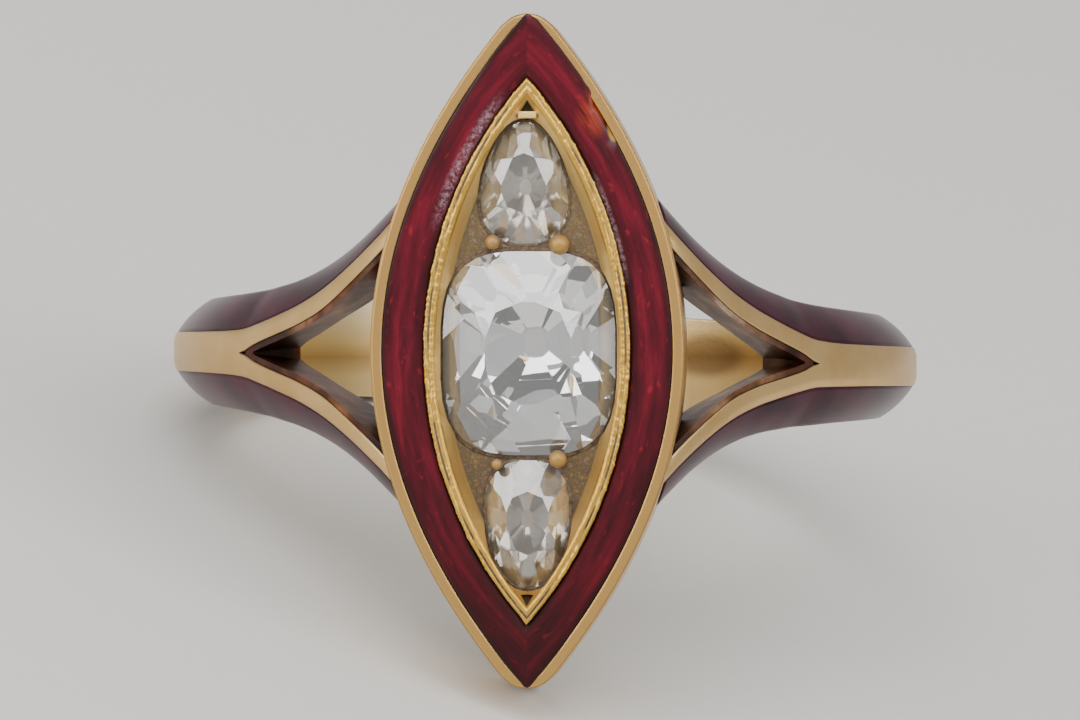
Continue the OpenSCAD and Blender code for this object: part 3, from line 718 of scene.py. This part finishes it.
def panel_section(angle):
    """Corners of the panel's section as (y, r): across its face, over the foot and back under."""
    ridge_r, ridge, foot_y, foot_r = section_at(angle)
    top, foot = Vector((ridge, ridge_r - CROWN_DROP)), Vector((foot_y, foot_r))
    length = (foot - top).length
    along = (foot - top) / length
    out = Vector((-along.y, along.x))
    opened = blend((PANEL_END - angle) / 3, 0, 1)
    far = min(max((PANEL_END - angle) / 10, 0), 1)
    fill = 0.16 + 0.84 * math.sqrt(1 - (1 - far) ** 2)
    half = (length - LIP_TOP - LIP_FOOT) / 2 * fill
    middle = top + along * (LIP_TOP + length - LIP_FOOT) / 2
    drop, depth = FOOT_BACK * opened, GROOVE_DEPTH * opened
    near = middle + (GAP - half) * along
    edge = middle + half * along + LIP_FOOT * (1 + fill) / 2 * along
    face = []
    for i in range(FACE_STEPS + 1):
        s = i / FACE_STEPS
        face.append(near + s * (edge - near) + SWELL * 4 * s * (1 - s) * out)
    under = [edge + (GAP - drop) * out,
             middle + (half - GAP) * along + (GAP - drop) * out,
             middle + (half - DRAFT - GAP) * along + (GAP - depth) * out,
             middle + (DRAFT + GAP - half) * along + (GAP - depth) * out]
    return face + under


# %% [markdown]
# The panel's end follows the side of the head. So every line that runs along the strip starts at
# its own angle: the one where that line leaves the head, which halving an interval finds.

# %% Sweep the four panels
STATIONS = 150
FIRST, FINAL = 17, 110.6


def panel_point(mirror, half, angle, j):
    """Corner j of a panel's section, placed on its side and half of the hoop."""
    y, r = panel_section(angle)[j]
    return hoop_point(mirror, half, angle, y, r)


def clear_of_head(point):
    """Whether a point lies outside the head's side, with a small gap."""
    slope = side_slope(point.y)
    gap = abs(point.x) - HALF_WIDTH * (1 - (point.y / MEET) ** 2)
    return gap / math.hypot(1, slope) > 0.02


def start_angle(mirror, half, j):
    """The angle at which line j of a panel leaves the head."""
    low, high = FIRST, 40
    for _ in range(24):
        middle = (low + high) / 2
        if clear_of_head(panel_point(mirror, half, middle, j)):
            high = middle
        else:
            low = middle
    return high


panels = []
corners = len(panel_section(FIRST))
for mirror, side_name in ((-1, "left"), (1, "right")):
    for half, half_name in ((1, "upper"), (-1, "lower")):
        starts = [start_angle(mirror, half, j) for j in range(corners)]
        points = [panel_point(mirror, half, a + (FINAL - a) * i / STATIONS, j)
                  for i in range(STATIONS + 1) for j, a in enumerate(starts)]
        faces = [(i * corners + j, i * corners + (j + 1) % corners,
                  (i + 1) * corners + (j + 1) % corners, (i + 1) * corners + j)
                 for i in range(STATIONS) for j in range(corners)]
        faces += [tuple(range(corners))[::-1],
                  tuple(STATIONS * corners + j for j in range(corners))]
        if mirror * half == -1:
            faces = [face[::-1] for face in faces]
        panel = new_mesh(f"shoulder_panel_{side_name}_{half_name}", points, faces)
        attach(panel, "root")
        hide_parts(f"shoulder_enamel_{side_name}_{half_name}")
        panels.append(panel)

# %% [markdown]
# ## Purple enamel
#
# The shoulders are covered in a dark purple-brown enamel. Its skin is worn dull and scatters
# light, so it looks greyer at a low angle, which the sheen of the shader gives. Inside the
# windows the same enamel is thin, and the gold under it makes it browner.

# %% Purple enamel
purple_enamel, tree, shader, place = new_material("purple_enamel")
cloud = add(tree, "TexNoise", {"Scale": 0.8, "Detail": 3}, {"Vector": place})
purple = add(tree, "ValToRGB", {"stops": [(0.35, "280A16"), (0.65, "421626")]}, {"Fac": cloud})
feed(tree, shader, {"Base Color": purple})
shader.inputs["Roughness"].default_value = 0.28
shader.inputs["IOR"].default_value = 1.5
shader.inputs["Specular IOR Level"].default_value = 0.18
shader.inputs["Sheen Weight"].default_value = 0.1
shader.inputs["Sheen Roughness"].default_value = 0.3
for piece in panels:
    wear(piece, purple_enamel)
for name, piece in solids.items():
    if name.startswith("shoulder"):
        wear(piece, purple_enamel)

# %% [markdown]
# On the walls of the windows the enamel is lighter and browner, whitish where it is worn, and
# dark at both ends of each window. The lower walls are painted a little darker, a painted shade.
# The solid leaves a narrow seam beside the branches, so a displace modifier lets the lining fill
# it.

# %% Thin enamel inside the windows
thin_enamel, tree, shader, place = new_material("thin_enamel")
axes = add(tree, "SeparateXYZ", {}, {"Vector": place})
cloud = add(tree, "TexNoise", {"Scale": 1.1, "Detail": 4}, {"Vector": place})
worn = add(tree, "ValToRGB", {"stops": [(0.35, "503422"), (0.5, "765640"), (0.65, "A08A76")]},
           {"Fac": cloud})
width = add(tree, "Math", {"operation": "ABSOLUTE"}, {0: axes.outputs["X"]})
share = add(tree, "MapRange", {"From Min": 4, "From Max": 8}, {"Value": width})
ends = add(tree, "ValToRGB", {"stops": [
    (0, "6A4434"), (0.3, "FFFFFF"), (0.55, "FFFFFF"), (0.72, "84583C")]}, {"Fac": share})
darker = add(tree, "Mix", {"data_type": "RGBA", "blend_type": "MULTIPLY", 0: 1.0},
             {6: worn, 7: ends})
left = add(tree, "MapRange", {"From Min": 1, "From Max": -1, "To Max": 0.8},
           {"Value": axes.outputs["X"]})
browner = add(tree, "Mix", {"data_type": "RGBA", "blend_type": "MULTIPLY", 7: colour("E0B890")},
              {0: left, 6: darker})
# The lower walls are painted a little darker, a painted shade
lower = add(tree, "MapRange", {"From Min": 0.6, "From Max": -0.6}, {"Value": axes.outputs["Y"]})
lower_walls_shaded = add(tree, "Mix", {"data_type": "RGBA", "blend_type": "MULTIPLY", 7: colour("E4CCAC")},
              {0: lower, 6: browner})
feed(tree, shader, {"Base Color": lower_walls_shaded})
shader.inputs["Roughness"].default_value = 0.45
shader.inputs["Specular IOR Level"].default_value = 0.25
for name in ("window_enamel_left", "window_enamel_right"):
    wear(solids[name], thin_enamel)
    thicker = solids[name].modifiers.new("fills_its_seam", "DISPLACE")
    thicker.strength, thicker.mid_level = 0.045 * MM, 0

# %% [markdown]
# ## Stones
#
# The three stones are old-cut diamonds. Their sparkle comes from the facets of the solids and
# from diamond's high index of refraction, and needs no more than clear glass with that index.
# The culet of the centre stone was left ground, so it shows as a pale spot and not as a window to
# the gold behind. The two side stones are dimmer: their facets are scratched and greasy, which a
# little roughness and a greyer glass give.

# %% Diamond
CULET = (0.2, 0.25, 9.72)
diamond, tree, shader, place = new_material("diamond")
ground = spot(tree, place, CULET, (0.55, 0.55, 0.08), 0.3)
clear = add(tree, "MapRange", {"To Min": 0.93, "To Max": 0.3}, {"Value": ground})
matt = add(tree, "MapRange", {"To Max": 0.5}, {"Value": ground})
feed(tree, shader, {"Transmission Weight": clear, "Roughness": matt})
shader.inputs["Base Color"].default_value = (1, 1, 1, 1)
shader.inputs["IOR"].default_value = 2.42
wear(solids["centre_stone"], diamond)

# %% [markdown]
# The haze of the side stones is a slow change from grey to a warm white.

# %% Side stones
hazy_diamond, tree, shader, place = new_material("hazy_diamond")
haze = add(tree, "TexNoise", {"Scale": 1.2, "Detail": 3}, {"Vector": place})
greyer = add(tree, "ValToRGB", {"stops": [(0.35, "B2A696"), (0.65, "D6D0C6")]}, {"Fac": haze})
feed(tree, shader, {"Base Color": greyer})
shader.inputs["Roughness"].default_value = 0.07
shader.inputs["IOR"].default_value = 2.42
shader.inputs["Transmission Weight"].default_value = 0.85
for name in ("upper_stone", "lower_stone"):
    wear(solids[name], hazy_diamond)

# %% [markdown]
# ## Dirt round the stones
#
# Soap and dust have packed into the seam between each stone and the floor of the well. It is a
# low uneven bank that leans on the stone. Its path is the outline of the stone itself, found by
# sending a line from the stone's middle to its hull in every direction.

# %% The outline of a stone
AROUND = 140


def stone_outline(piece):
    """The stone's middle, and its outline seen from above as directions and radii."""
    corners = [ring_axes.inverted() @ piece.matrix_world @ v.co for v in piece.data.vertices]
    flat = [p.to_2d() for p in corners]
    hull = [flat[i] for i in geometry.convex_hull_2d(flat)]
    middle = sum(hull, Vector((0, 0))) / len(hull)
    reaches = []
    for i in range(AROUND):
        way = Vector((math.cos(2 * math.pi * i / AROUND), math.sin(2 * math.pi * i / AROUND)))
        for a, b in zip(hull, hull[1:] + hull[:1]):
            hit = geometry.intersect_line_line_2d(middle, middle + 5 * way, a, b)
            if hit:
                reaches.append((way, (hit - middle).length))
                break
    return middle, reaches


# %% [markdown]
# The bank's section leans on the stone, slopes down away from it and ends under the floor, so no
# gap shows on either side.

# %% A bank of dirt round each stone
# Distance outside the stone and height above the well's floor, in mm
BANK = [(-0.05, -0.06), (-0.015, 0.05), (0.03, 0.035), (0.08, 0.012), (0.14, -0.03), (0.1, -0.08)]
banks = []
for name in ("centre_stone", "upper_stone", "lower_stone"):
    middle, reaches = stone_outline(solids[name])
    lift = 0.02 if name == "centre_stone" else -0.02
    points = []
    for i, (way, reach_out) in enumerate(reaches):
        for k, (out, height) in enumerate(BANK):
            p = middle + (reach_out + out) * way
            uneven = 0.03 * noise.noise(Vector((5 * p.x, 5 * p.y, k))) if 0 < k < 4 else 0
            points.append((p.x, p.y, FLOOR_Z + lift + height + uneven))
    faces = [(a, d, c, b) for a, b, c, d in joined_rings(len(reaches), len(BANK))]
    bank = new_mesh("dirt_round_" + name, points, faces)
    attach(bank, "root")
    banks.append(bank)

# %% [markdown]
# Packed dirt is a matt brown, in grains of about a tenth of a millimetre.

# %% Packed dirt
packed_dirt, tree, shader, place = new_material("packed_dirt")
grains = add(tree, "TexNoise", {"Scale": 8, "Detail": 5, "Roughness": 0.7}, {"Vector": place})
soil = add(tree, "ValToRGB", {"stops": [(0.35, "38281C"), (0.65, "76644E")]}, {"Fac": grains})
feed(tree, shader, {"Base Color": soil})
shader.inputs["Roughness"].default_value = 0.75
for bank in banks:
    wear(bank, packed_dirt)
